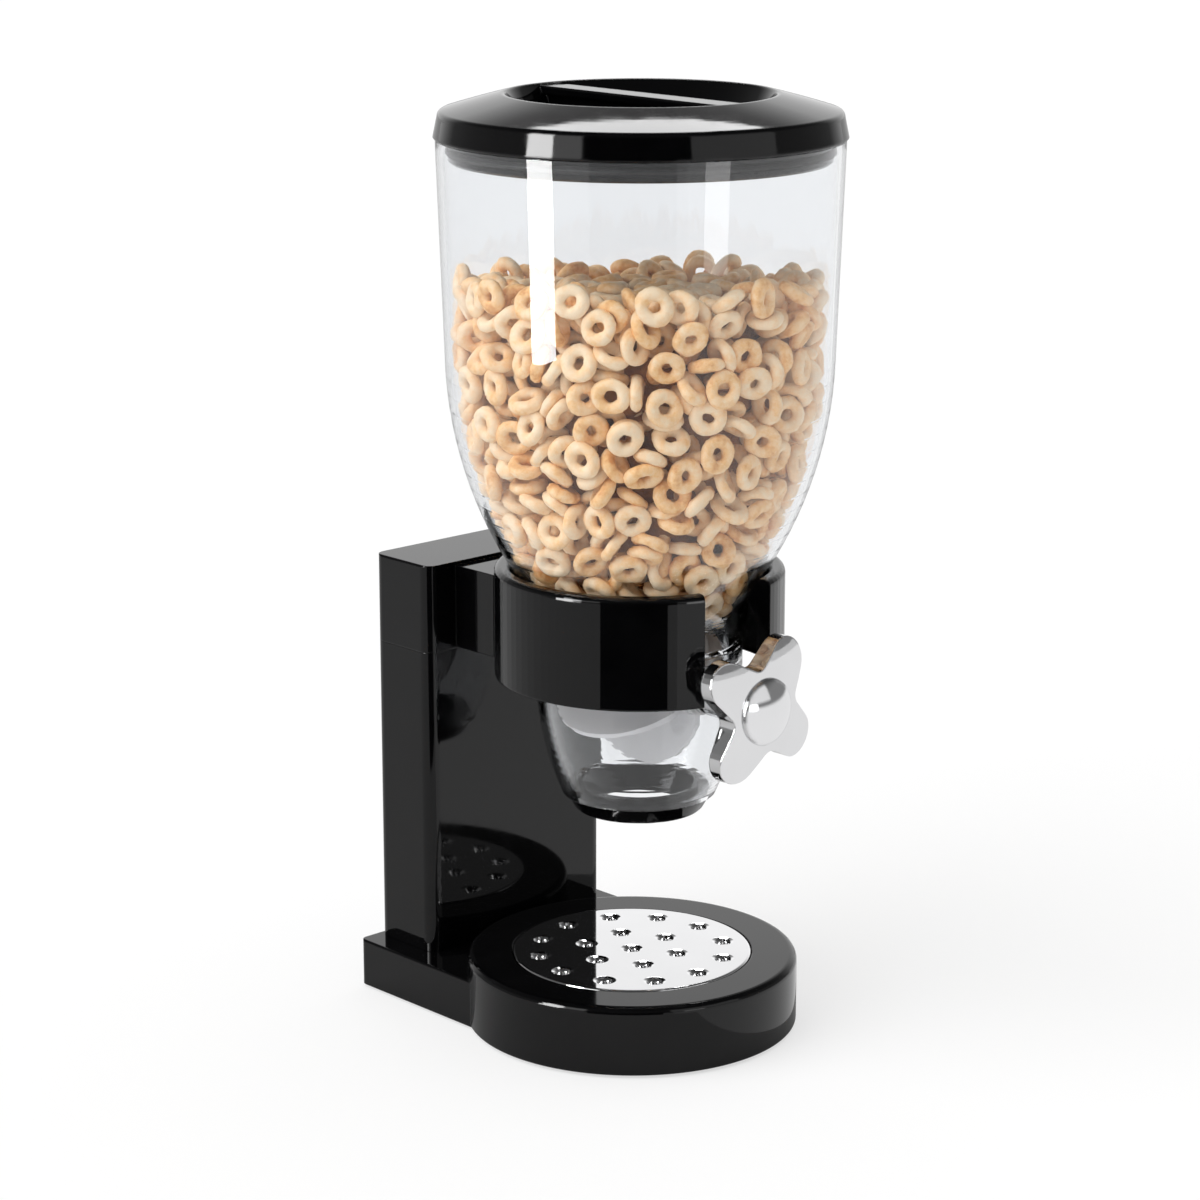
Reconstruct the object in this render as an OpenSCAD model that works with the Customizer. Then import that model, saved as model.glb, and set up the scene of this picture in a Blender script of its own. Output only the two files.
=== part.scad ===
// Gravity bulk food bin: a clear canister whose neck and metering chamber sit in a
// C-shaped collar on a column, over a round base with a lift-out crumb tray.
// A portion wheel in the clear chamber is turned by the four-lobed knob in front.
// +Z is up, the knob faces -Y, and the origin is at table level under the middle of the
// whole object. Each piece is written about the canister's axis, and place() puts it there.
// All sizes are in millimetres.

/* [Lid] */
// How far the lid's skirt stands out past the canister's wall
lid_over = 1.5; // [0.8:0.1:3]
// Height of the skirt up to the crease where the domed top begins
lid_skirt_h = 8.8; // [7:0.2:12]
// How far the skirt flares out from the crease down to its foot
skirt_flare = 1.7; // [0.4:0.1:3]
// Radius of the rounded shoulder above the crease
lid_edge_r = 2.4; // [1.4:0.2:4]
// Rise of the domed top up to the recess rim
lid_rise = 6.8; // [4:0.2:12]
// Crown of the domed top, where 0 is a plain cone
lid_crown = 0.1; // [0:0.05:0.6]
// Wall of the lid cover
lid_wall = 2.4; // [1.6:0.1:3.2]
// Radius of the round finger recess at its rim
recess_r = 55; // [46:0.5:58]
// Depth of the finger recess below its rim
recess_depth = 15.5; // [11:0.5:16.5]
// How far the recess wall slopes inwards on its way down
recess_slope = 8; // [4:0.5:14]
// Width of the grip bar's flat top
grip_w = 12; // [9:0.5:20]
// Thickness of the grip bar's flat top
grip_top_t = 3.2; // [2:0.2:5]
// Width of the web under the grip bar's top
grip_web_w = 7; // [4:0.5:9]
// How far the plug ring reaches below the skirt
plug_drop = 8.5; // [7:0.5:14]
// Wall of the plug ring
plug_wall = 2.2; // [1.6:0.1:3]
// Radial thickness of the lid gasket's bead outside the plug ring
gasket_bead = 1.5; // [1.2:0.1:2.2]

/* [Canister] */
// Outer radius of the canister at its mouth
can_r = 81.6; // [77:0.2:92]
// Outer radius where the canister's walls begin to draw in
belly_r = 79.2; // [76:0.2:88]
// Distance from the rim down to the belly
belly_drop = 89; // [50:1:120]
// Radius of the long curve below the belly
belly_arc = 172; // [165:1:185]
// Steepest slope of the funnel, from vertical
funnel_slope = 32; // [29:0.5:34]
// Radius of the curve from the funnel into the neck
neck_arc = 14; // [8:0.5:20]
// Outer radius of the neck
neck_r = 39.8; // [38.5:0.1:41]
// Straight height of the neck above its gasket
neck_h = 11.1; // [9:0.1:20]
// Wall of the canister
can_wall = 2.5; // [1.8:0.1:3.2]
// Height of the thickened bead round the rim
rim_h = 3.4; // [2:0.2:6]
// How far the rim bead stands out of the wall
rim_lip = 0.6; // [0.3:0.1:1.2]

/* [Chamber and outlet] */
// Height of the wheel's axis above the table
axle_z = 152; // [140:1:180]
// Wall of the socket that takes the canister's neck
socket_wall = 2.85; // [2.2:0.05:3.6]
// Height of the socket above the ledge that carries the neck
socket_h = 8; // [7:0.5:9]
// Wall of the chamber
chamber_wall = 2.6; // [2:0.1:2.9]
// Radius of the bowl's long curve
bowl_arc = 118; // [100:1:140]
// Height of the bowl from its underside to the axis
bowl_h = 49; // [45:0.5:54]
// Wall of the bosses round the shaft's bushes
boss_wall = 2; // [1.6:0.1:3]
// How far the front boss ends short of the collar's outside
boss_inset = 5; // [3:0.5:8]
// Number of bayonet lugs on the neck
lug_count = 3; // [2:1:4]
// Width of a bayonet lug, as an angle
lug_angle = 20; // [12:1:26]
// Step from the bowl's foot in to the outlet ring
outlet_step = 1.6; // [0.6:0.1:2.4]
// How much the outlet ring narrows towards its foot
outlet_taper = 3.3; // [1:0.1:4]
// Height of the outlet ring's outer band
outlet_h = 6.8; // [6:0.2:9]
// Radius of the outlet's opening
outlet_bore_r = 18; // [14:0.5:20]
// Height of the funnel lip inside the bowl
outlet_lip_h = 11; // [10.5:0.5:13]

/* [Portion wheel] */
// Gap between the paddles' rims and the inside of the neck
paddle_gap = 0.8; // [0.5:0.1:4]
// Number of paddles
paddle_count = 6; // [4:1:8]
// Thickness of a paddle at its rim
paddle_t = 1.8; // [1.2:0.1:3]
// Thickness of a paddle at the hub
paddle_root_t = 3.2; // [2.4:0.1:4.4]
// Wall of the silicone sleeve that carries the paddles
sleeve_t = 2.3; // [1.8:0.1:3.5]
// Wall of the rigid core inside the sleeve
core_wall = 3.2; // [2.2:0.1:4]
// Radius of the shaft
shaft_r = 4; // [3.2:0.1:5]
// Depth of each of the two flats that drive the wheel and the knob
flat_depth = 1; // [0.5:0.1:1.4]
// Wall of the shaft's bushes
bush_wall = 1.8; // [1.2:0.1:2.6]

/* [Knob] */
// Distance from the axis to the centre of a lobe's round end
lobe_reach = 23.2; // [20:0.2:28]
// Radius of a lobe's round end
lobe_r = 9.4; // [7:0.2:10.4]
// Number of lobes
lobe_count = 4; // [3:1:6]
// Angle at which each side of a lobe closes in towards its end
lobe_taper = 10; // [4:1:15]
// Radius of the hollow between two lobes
hollow_r = 5; // [3.5:0.5:9]
// Angle of the first lobe at rest
lobe_turn = 54; // [0:1:90]
// Gap between the collar and the knob's back
knob_gap = 4.3; // [2:0.1:10]
// Thickness of the knob at its centre
knob_t = 10; // [8:0.2:13]
// Radius of the domed face
knob_dome_arc = 120; // [90:1:200]
// Wall of the hollow knob
knob_wall = 2.2; // [1.6:0.1:3]
// Radius of the centre cap
cap_r = 13.6; // [10:0.2:14.4]
// Rise of the centre cap out of the face
cap_rise = 4; // [2:0.2:6]

/* [Collar bracket] */
// Distance from the canister's wall to the collar's outside, at the collar's top
collar_margin = 6.9; // [6.4:0.1:12]
// Wall of the collar
collar_wall = 3; // [2:0.1:4]
// Height of the collar
collar_h = 46.5; // [38:0.5:56]
// Half the angle of the collar's front gap
gap_half = 18; // [14:0.5:24]
// Width of the collar's inturned top, and depth of the walls at its ends
lip_w = 6; // [5:0.1:6.3]
// Number of ribs under the collar's seat
seat_ribs = 8; // [4:1:12]
// Half the width of the arm
arm_half = 34.6; // [26:0.2:40]
// Clear distance between the collar and the column
arm_len = 16; // [12:0.5:30]
// Height of the arm
arm_h = 35.5; // [26:0.5:36]
// Drop of the arm's top below the top of the column block
arm_drop = 1.5; // [0.5:0.5:2]
// Radius of the hollow blend between arm and collar
arm_blend = 8; // [4:0.5:12]

/* [Column] */
// Half the width of the column
col_half = 49.8; // [44:0.2:56]
// Depth of the column from front to back
col_depth = 35.6; // [30:0.2:42]
// Radius of the column's upright edges
col_edge_r = 5.4; // [3:0.2:9]
// Height of the block at the column's head, which is part of the bracket
block_h = 37.8; // [37.6:0.2:50]
// Drop of the block's top below the collar's upper edge
block_drop = 7; // [3:0.5:9]
// Wall of the column and its block
col_wall = 3; // [2:0.1:4]
// Length of the spigot that centres the block on the column
spigot_h = 8; // [5:0.5:14]

/* [Base] */
// Radius of the round part of the base
disc_r = 70; // [67:0.5:80]
// Gap between the round part of the base and the column
disc_gap = 2; // [0.5:0.5:6]
// Height of the round part's top
disc_top_z = 30.5; // [28:0.5:36]
// How far the rear plate stands out past the column's sides
plate_margin = 10.5; // [9:0.5:16]
// How far the rear plate stands out behind the column
plate_back = 1; // [0:0.5:8]
// Height of the rear plate's top
plate_top_z = 21.5; // [18:0.5:24]
// Wall of the base moulding
base_wall = 3; // [2:0.1:4]
// Gap between the base's lower edge and the table
base_lift = 1.2; // [0.6:0.1:3]
// Radius of a rubber foot
foot_r = 7; // [5:0.5:7.5]
// Depth of the crumb well under the tray's ledge
well_depth = 8.5; // [6:0.5:10]
// Width of the ledge that carries the tray
ledge_w = 4.1; // [3:0.1:6]

/* [Crumb tray] */
// Outer radius of the tray
tray_r = 50.6; // [46:0.2:52]
// Height of the tray's top above the round base
tray_proud = 0.4; // [0:0.1:1.5]
// Thickness of the tray's plate
tray_t = 1.6; // [1:0.1:2]
// Depth of the tray's turned-down edge
tray_edge_h = 3.4; // [2.8:0.1:4]
// Width of the tray's turned-down edge
tray_edge_w = 2.2; // [1.4:0.1:2.8]
// Radius of a drain hole
drain_r = 2.4; // [1.5:0.1:3]
// Radius of the dish pressed round each drain hole
dish_r = 4.7; // [3.6:0.1:5]
// Number of rings of drain holes round the centre one
ring_count = 2; // [1:1:3]
// Land between the outer ring of dishes and the edge of the crumb well
dish_land = 1.8; // [1:0.1:6]

/* [Hidden] */
$fn = 96;

// Clearances and small shared sizes
cut = 1;                    // run of a cutting tool past the face it cuts
eps = 0.01;                 // bite between pieces that are joined
rest_gap = 0.3;             // gap between two bodies that rest on each other
fit_gap = 0.15;             // gap between two pieces of one body
run_gap = 0.05;             // radial clearance of the turning shaft
edge = 1;                   // small softened edge
min_corner = 0.4;           // least corner radius of a plan outline
edge_steps = 5;             // steps in a softened edge
curve_steps = 14;           // steps in a long curve
rib_t = 2;                  // thickness of a stiffening rib

// Screws that join base, column and bracket
screw_r = 1.7;
screw_clear_r = 2.2;
head_r = 3.8;
head_h = 2.4;
head_clear_r = 4.6;
column_screw_l = 24;
bracket_screw_l = 18;
column_screw_in = 10;       // from the column's side to a column screw
column_screw_out = 9;       // from the column's front or back to a column screw
bracket_screw_in = 18;      // from the column's side to a bracket screw

// Shaft, bushes and the chamber's heights, from the wheel's axis
core_r = shaft_r + core_wall;
sleeve_r = core_r + sleeve_t;
bush_r = shaft_r + bush_wall;
boss_r = bush_r + boss_wall;
shaft_flat = 2 * (shaft_r - flat_depth);
chamber_foot_z = axle_z - bowl_h;
ledge_z = axle_z + boss_r + 0.2;
ledge_t = 1.5;
gasket_t = 1.5;
neck_bottom_z = ledge_z + ledge_t + gasket_t;
socket_top_z = ledge_z + ledge_t + socket_h;
socket_round = 2;
socket_r = neck_r + fit_gap;
chamber_r = socket_r + socket_wall;
chamber_in_r = chamber_r - chamber_wall;
ledge_in_r = neck_r - can_wall + 0.2;
pad_y = chamber_in_r - 1.6;
bush_flange_t = 1.2;
bush_len = 5.4;
rear_boss_y = pad_y + bush_len + 1.6;
lug_h = 2.4;
lug_out = 1.1;
lug_play = 1;               // angle between a lug and the end of its slot
lug_z = neck_bottom_z + 1.6;

// Canister profile from the neck up: a short curve, a cone, a long curve and a drafted wall
neck_z = neck_bottom_z + neck_h;
draft = atan((can_r - belly_r) / belly_drop);
cone_end_z = neck_z + neck_arc * sin(funnel_slope);
cone_end_r = neck_r + neck_arc * (1 - cos(funnel_slope));
curve_end_r = belly_r - belly_arc * (cos(draft) - cos(funnel_slope));
curve_end_z = cone_end_z + (curve_end_r - cone_end_r) / tan(funnel_slope);
belly_z = curve_end_z + belly_arc * (sin(funnel_slope) - sin(draft));
can_top_z = belly_z + belly_drop;

// Outlet
bowl_bottom_r = chamber_r - bowl_arc + sqrt(bowl_arc * bowl_arc - bowl_h * bowl_h);
foot_out_r = bowl_bottom_r - 5;
foot_in_r = foot_out_r - 2.2;
foot_h = 3;
bowl_floor_t = 2;
outlet_top_z = chamber_foot_z - fit_gap;
outlet_z = outlet_top_z - outlet_h;
outlet_band_r = bowl_bottom_r - outlet_step;
outlet_foot_r = outlet_band_r - outlet_taper;
outlet_skin = 0.8;          // width of the funnel lip's upper edge
funnel_top_r = foot_in_r - 2 * outlet_skin;

// Wheel
end_play = 0.5;
hub_half = pad_y - bush_flange_t - end_play;
sleeve_half = hub_half - 3;
paddle_r = neck_r - can_wall - paddle_gap;
key_t = 2;
key_h = 1.1;
key_count = 3;

// Collar bracket
collar_r = curve_end_r + collar_margin;
collar_in_r = collar_r - collar_wall;
collar_top_z = curve_end_z + 0.5;
collar_z = collar_top_z - collar_h;
collar_round = 2.6;
lip_r = collar_r - lip_w;
seat_gap = rest_gap / cos(funnel_slope);
seat_t = 2.6;
seat_h = 6.6;
seat_top_z = collar_top_z - 1.8;
seat_bottom_z = seat_top_z - seat_h;
end_wall_angle = 3;

// Shaft ends and knob, in front of the collar
front_boss_y = collar_r - boss_inset;
knob_back_y = collar_r + knob_gap;
knob_face_y = knob_back_y + knob_t;
knob_hub_y = front_boss_y + 0.8;
knob_hub_r = boss_r + 0.8;
shaft_rear_y = pad_y + bush_len - 1;
shaft_front_y = knob_back_y + 3.4;
seal_wire = 0.7;
seal_play = 0.02;
seal_y = front_boss_y - 4;
seal_r = shaft_r + run_gap - seal_play - seal_wire;
lobe_sweep = 90 - lobe_taper;
hollow_sweep = lobe_sweep - 180 / lobe_count;
hollow_d = (lobe_reach * sin(lobe_taper) + lobe_r + hollow_r) / cos(hollow_sweep);
lobe_steps = 14;
hollow_steps = 8;
knob_screw_r = 1.3;
knob_screw_l = 9;           // length of the knob's screw in the shaft
cap_seat_t = 2;
cap_plate_t = 2;
cap_arc = (pow(cap_r, 2) + pow(cap_rise, 2)) / (2 * cap_rise);
cap_pocket_h = 1.6;
cap_pocket_r = 4;

// Column, block and arm
col_top_z = collar_top_z - block_drop;
seam_z = col_top_z - block_h;
col_front_y = collar_r + arm_len;
col_back_y = col_front_y + col_depth;
col_mid_y = (col_front_y + col_back_y) / 2;
arm_top_z = col_top_z - arm_drop;
arm_z = arm_top_z - arm_h;
arm_wall = 3;
arm_start_y = 30;
blend_y = sqrt(pow(collar_r + arm_blend, 2) - pow(arm_half + arm_blend, 2));
block_wall = 2 * col_wall - 0.4;
bracket_screw_x = col_half - bracket_screw_in;
bracket_boss_r = 4.5;
bracket_boss_h = 22;
web_t = 3;
web_top_z = seam_z - spigot_h - 0.4;

// Base and tray
disc_y = col_front_y - disc_gap - disc_r;
disc_edge_r = 3;
plate_half = col_half + plate_margin;
plate_back_y = col_back_y + plate_back;
plate_corner = 3.5;
well_r = tray_r - ledge_w;
tray_z = disc_top_z + tray_proud;
ledge_seat_z = tray_z - tray_edge_h - rest_gap;
well_z = ledge_seat_z - well_depth;
tray_pocket_r = tray_r + 0.6;
foot_h_total = base_lift + 2;
foot_boss_w = 2;
front_foot_ring = disc_r - 12;
rear_foot_x = plate_half - 10.8;
feet = [for (s = [-1, 1]) each [
    [s * front_foot_ring * cos(45), disc_y - front_foot_ring * sin(45)],
    [s * rear_foot_x, col_mid_y]
]];
column_screw_x = col_half - column_screw_in;
column_screw_dy = col_depth / 2 - column_screw_out;
column_screws_at = [for (x = [-1, 1], y = [-1, 1]) [x * column_screw_x, col_mid_y + y * column_screw_dy]];
pillar_r = 4.6;
pillar_h = 26;
base_pillar_r = 6.5;
screw_floor = 8;            // base material above a column screw's head
base_rib_count = 8;
base_rib_z = base_lift + 3;
plate_rib_x = 20;
ring_pitch = (well_r - dish_r - dish_land) / ring_count;
dish_skin = 0.6;
dish_steps = 3;
holes = concat(
    [[0, 0]],
    [for (ring = [1:ring_count], k = [0:6 * ring - 1])
        ring * ring_pitch * [cos(60 * k / ring), sin(60 * k / ring)]]
);

// Lid
lid_r = can_r + lid_over;
skirt_z = can_top_z + rest_gap;
crease_z = skirt_z + lid_skirt_h;
crease_r = lid_r - skirt_flare;
shoulder_turn = 62;         // angle that the rounded shoulder turns through
shoulder_z = crease_z + lid_edge_r * sin(shoulder_turn);
shoulder_r = crease_r - lid_edge_r * (1 - cos(shoulder_turn));
skirt_edge = 0.6;           // softened edge of the skirt's foot
lid_steps = 8;
crest_z = shoulder_z + lid_rise;
recess_floor_z = crest_z - recess_depth;
floor_r = recess_r - recess_slope;
floor_round = 1.5;
rim_drop = 2;
gasket_h = 3;
gasket_lift = 3;            // from the plug ring's foot to its gasket
gasket_drop = plug_drop - rest_gap - gasket_lift;
gasket_r = can_r - can_wall - gasket_drop * tan(draft) - rest_gap;
gasket_seat = 1;            // depth of the gasket's groove in the plug ring
plug_r = gasket_r - gasket_bead;
plug_bottom_z = skirt_z - plug_drop;
plug_top_z = shoulder_z - lid_wall - 1.6;
plug_flange_z = plug_top_z - plug_wall;
gasket_z = plug_bottom_z + gasket_lift;
clip_r = recess_r + 11.5;
clip_wall = 2;
clip_hook = 1.2;
clip_drop = 3;
grip_sink = 0.8;            // drop of the grip bar's top below the rim

// Middle of the whole object from front to back, measured from the canister's axis
middle_y = (plate_back_y - max(lid_r, knob_face_y + cap_rise)) / 2;

// Points of an arc about [cx, cy] from angle a0 to a1
function arc(cx, cy, r, a0, a1, n = edge_steps) =
    [for (i = [0:n]) let (a = a0 + (a1 - a0) * i / n) [cx + r * cos(a), cy + r * sin(a)]];

// Radius of the canister's cone at a height, for the seat that carries it
function cone_r(z) = curve_end_r - (curve_end_z - z) * tan(funnel_slope);

// Canister wall line from rim to neck, drawn in by w
function can_line(w) = concat(
    [[can_r - w, can_top_z]],
    arc(belly_r - belly_arc * cos(draft), belly_z + belly_arc * sin(draft), belly_arc - w,
        -draft, -funnel_slope, curve_steps),
    arc(neck_r + neck_arc, neck_z, neck_arc + w, 180 - funnel_slope, 180, edge_steps),
    [[neck_r - w, neck_bottom_z]]
);

// Bowl wall line from the axis down to the foot, drawn in by w, ending at height z
function bowl_line(w, z) = arc(chamber_r - bowl_arc, axle_z, bowl_arc - w,
    0, -asin((axle_z - z) / (bowl_arc - w)), curve_steps);

// The same points in the opposite order
function reversed(points) = [for (i = [len(points) - 1:-1:0]) points[i]];

// Rounded rectangle in plan, from corner lo to corner hi
module plan_box(lo, hi, corner) {
    r = max(corner, min_corner);
    union() {
        translate([lo.x + r, lo.y])
            square([hi.x - lo.x - 2 * r, hi.y - lo.y]);
        translate([lo.x, lo.y + r])
            square([hi.x - lo.x, hi.y - lo.y - 2 * r]);
        for (x = [lo.x + r, hi.x - r], y = [lo.y + r, hi.y - r])
            translate([x, y])
                circle(r);
    }
}

// Column outline in plan, drawn in by w
module column_plan(w) {
    plan_box([-col_half + w, col_front_y + w], [col_half - w, col_back_y - w], col_edge_r - w);
}

// Softens the two upper long edges of what runs from front to back: half width w, heights z0 to z1
module soft_top(w, z0, z1, y0, y1) {
    translate([0, y1, 0])
        rotate([90, 0, 0])
            linear_extrude(y1 - y0)
                polygon(concat(
                    [[-w, z0], [w, z0]],
                    arc(w - edge, z1 - edge, edge, 0, 90),
                    arc(-w + edge, z1 - edge, edge, 90, 180)
                ));
}

// Cylinder along -Y between two distances in front of the axis, at the wheel's height
module along_y(y0, y1, r) {
    translate([0, -y0, axle_z])
        rotate([90, 0, 0])
            cylinder(h = y1 - y0, r = r);
}

// Section of the shaft's driving end: a circle with two flats
module drive_section(grow = 0) {
    intersection() {
        circle(shaft_r + grow);
        square([2 * shaft_r + cut, shaft_flat + 2 * grow], center = true);
    }
}

// Drive section along -Y between two distances in front of the axis
module drive_along_y(y0, y1, grow = 0) {
    translate([0, -y0, axle_z])
        rotate([90, 0, 0])
            linear_extrude(y1 - y0)
                drive_section(grow);
}

// Pan-head screw with its shank up, the seat of its head at the origin
module screw_up(l) {
    translate([0, 0, -head_h])
        cylinder(h = head_h, r = head_r);
    translate([0, 0, -head_h])
        cylinder(h = head_h + l, r = screw_r);
}

// ---------------------------------------------------------------- stand

// Solid body of the base with its softened edges
module base_solid() {
    translate([0, disc_y, 0])
        rotate_extrude()
            polygon(concat(
                [[0, base_lift]],
                arc(disc_r - edge, base_lift + edge, edge, -90, 0),
                arc(disc_r - disc_edge_r, disc_top_z - disc_edge_r, disc_edge_r, 0, 90),
                [[0, disc_top_z]]
            ));
    intersection() {
        translate([0, 0, base_lift])
            linear_extrude(plate_top_z - base_lift)
                plan_box([-plate_half, disc_y], [plate_half, plate_back_y], plate_corner);
        soft_top(plate_half, base_lift, plate_top_z, 0, plate_back_y);
    }
}

// Hollow of the base, open underneath
module base_hollow() {
    difference() {
        union() {
            translate([0, disc_y, 0])
                cylinder(h = disc_top_z - base_wall, r = disc_r - base_wall);
            linear_extrude(plate_top_z - base_wall)
                plan_box([-plate_half + base_wall, disc_y],
                    [plate_half - base_wall, plate_back_y - base_wall], edge);
        }
        // crumb well and the step that carries the tray
        translate([0, disc_y, well_z - base_wall])
            cylinder(h = disc_top_z, r = well_r + base_wall);
        translate([0, disc_y, ledge_seat_z - base_wall])
            cylinder(h = disc_top_z, r = tray_pocket_r + base_wall);
        // stiffening ribs under the disc and the plate
        for (k = [0:base_rib_count - 1])
            translate([0, disc_y, base_rib_z])
                rotate([0, 0, (k + 0.5) * 360 / base_rib_count])
                    translate([well_r, -rib_t / 2, 0])
                        cube([disc_r - well_r, rib_t, disc_top_z]);
        for (x = [-plate_rib_x, plate_rib_x])
            translate([x - rib_t / 2, disc_y + well_r, base_rib_z])
                cube([rib_t, plate_back_y - disc_y - well_r, plate_top_z]);
        // screw pillars and foot bosses
        for (p = column_screws_at)
            translate([p.x, p.y, 0])
                cylinder(h = plate_top_z, r = base_pillar_r);
        for (p = feet)
            translate([p.x, p.y, 0])
                cylinder(h = plate_top_z, r = foot_r + foot_boss_w);
    }
}

module base_shell() {
    color([0.05, 0.05, 0.055])
        difference() {
            base_solid();
            base_hollow();
            // tray pocket and crumb well
            translate([0, disc_y, ledge_seat_z])
                cylinder(h = disc_top_z, r = tray_pocket_r);
            translate([0, disc_y, well_z])
                cylinder(h = disc_top_z, r = well_r);
            // foot sockets and column screw holes
            for (p = feet)
                translate([p.x, p.y, 0])
                    cylinder(h = foot_h_total, r = foot_r + fit_gap);
            for (p = column_screws_at)
                translate([p.x, p.y, 0]) {
                    cylinder(h = disc_top_z, r = screw_clear_r);
                    cylinder(h = plate_top_z - screw_floor, r = head_clear_r);
                }
        }
}

module rubber_feet() {
    color([0.12, 0.12, 0.12])
        for (p = feet)
            translate([p.x, p.y, 0])
                cylinder(h = foot_h_total, r = foot_r);
}

module column() {
    color([0.05, 0.05, 0.055])
        difference() {
            union() {
                difference() {
                    translate([0, 0, plate_top_z])
                        linear_extrude(seam_z - plate_top_z)
                            column_plan(0);
                    translate([0, 0, plate_top_z - cut])
                        linear_extrude(seam_z)
                            column_plan(col_wall);
                }
                // web near the top that the bracket's screws pull against
                translate([0, 0, web_top_z - web_t])
                    linear_extrude(web_t)
                        column_plan(col_wall / 2);
                // screw pillars and their ribs to the side walls
                for (p = column_screws_at) {
                    translate([p.x, p.y, plate_top_z])
                        cylinder(h = pillar_h, r = pillar_r);
                    translate([p.x > 0 ? p.x : -col_half + eps, p.y - rib_t / 2, plate_top_z])
                        cube([col_half - abs(p.x) - eps, rib_t, pillar_h]);
                }
            }
            for (p = column_screws_at)
                translate([p.x, p.y, plate_top_z - cut])
                    cylinder(h = pillar_h - 2 * cut, r = screw_r);
            for (x = [-1, 1])
                translate([x * bracket_screw_x, col_mid_y, web_top_z - web_t - cut])
                    cylinder(h = web_t + 2 * cut, r = screw_clear_r);
        }
}

module column_screws() {
    color([0.7, 0.7, 0.72])
        for (p = column_screws_at)
            translate([p.x, p.y, plate_top_z - screw_floor])
                screw_up(column_screw_l);
}

module bracket_screws() {
    color([0.7, 0.7, 0.72])
        for (x = [-1, 1])
            translate([x * bracket_screw_x, col_mid_y, web_top_z - web_t])
                screw_up(bracket_screw_l);
}

// Section of the collar: outer wall, rounded lip and the cone that carries the canister
module collar_section() {
    polygon(concat(
        [[collar_in_r, collar_z]],
        arc(collar_r - edge, collar_z + edge, edge, -90, 0),
        arc(collar_r - collar_round, collar_top_z - collar_round, collar_round, 0, 90),
        [
            [lip_r + 1, collar_top_z],
            [lip_r, collar_top_z - 0.6],
            [cone_r(seat_top_z) + seat_gap, seat_top_z],
            [cone_r(seat_bottom_z) + seat_gap, seat_bottom_z],
            [cone_r(seat_bottom_z) + seat_gap + seat_t, seat_bottom_z],
            [cone_r(seat_top_z - seat_t) + seat_gap + seat_t, seat_top_z - seat_t],
            [collar_in_r, seat_top_z - seat_t]
        ]
    ));
}

// Section of the walls that close the collar at its front gap
module collar_end_section() {
    polygon([
        [lip_r, collar_z + edge],
        [collar_in_r + edge, collar_z + edge],
        [collar_in_r + edge, seat_top_z - edge],
        [cone_r(seat_top_z) + seat_gap + 0.5, seat_top_z],
        [cone_r(seat_bottom_z) + seat_gap, seat_bottom_z],
        [lip_r, seat_bottom_z - 8]
    ]);
}

// Gusset between the collar's wall and the underside of its seat
module seat_rib() {
    rotate([90, 0, 0])
        translate([0, 0, -rib_t / 2])
            linear_extrude(rib_t)
                polygon([
                    [collar_in_r + 1, collar_z + 12],
                    [collar_in_r + 1, seat_top_z - 1],
                    [cone_r(seat_top_z - seat_t) + seat_gap + seat_t - 1, seat_top_z - seat_t],
                    [cone_r(seat_bottom_z) + seat_gap + seat_t - 1, seat_bottom_z + 0.5]
                ]);
}

// Outline of the arm in plan, drawn in by w, with hollow blends into the collar
module arm_plan(w) {
    outer = arm_half + arm_blend;
    difference() {
        union() {
            translate([-arm_half + w, arm_start_y])
                square([2 * (arm_half - w), col_front_y + col_wall / 2 - arm_start_y]);
            translate([-outer, arm_start_y])
                square([2 * outer, blend_y - arm_start_y]);
        }
        for (s = [-1, 1])
            translate([s * outer, blend_y])
                circle(arm_blend + w);
        circle(collar_in_r + 0.5 + w);
        // keep only what lies behind the blends' ends
        translate([-outer - cut, 0])
            square([2 * (outer + cut), blend_y * collar_r / (collar_r + arm_blend)]);
    }
}

// Block at the column's head, with softened top edges
module block_solid() {
    intersection() {
        translate([0, 0, seam_z])
            linear_extrude(col_top_z - seam_z)
                column_plan(0);
        soft_top(col_half, seam_z, col_top_z, col_front_y - cut, col_back_y + cut);
    }
}

// Hollow of the block and of the arm, both open underneath
module bracket_hollow() {
    difference() {
        union() {
            translate([0, 0, seam_z - eps])
                linear_extrude(col_top_z - seam_z - col_wall)
                    column_plan(block_wall);
            translate([0, 0, arm_z - eps])
                linear_extrude(arm_h - arm_wall)
                    difference() {
                        arm_plan(arm_wall);
                        circle(collar_r);
                        translate([-arm_half, col_front_y])
                            square([2 * arm_half, col_depth]);
                    }
        }
        for (x = [-1, 1])
            translate([x * bracket_screw_x, col_mid_y, seam_z - spigot_h])
                cylinder(h = col_top_z, r = bracket_boss_r);
        translate([-rib_t / 2, collar_in_r, arm_z])
            cube([rib_t, col_front_y - collar_in_r, arm_h]);
    }
}

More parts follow.
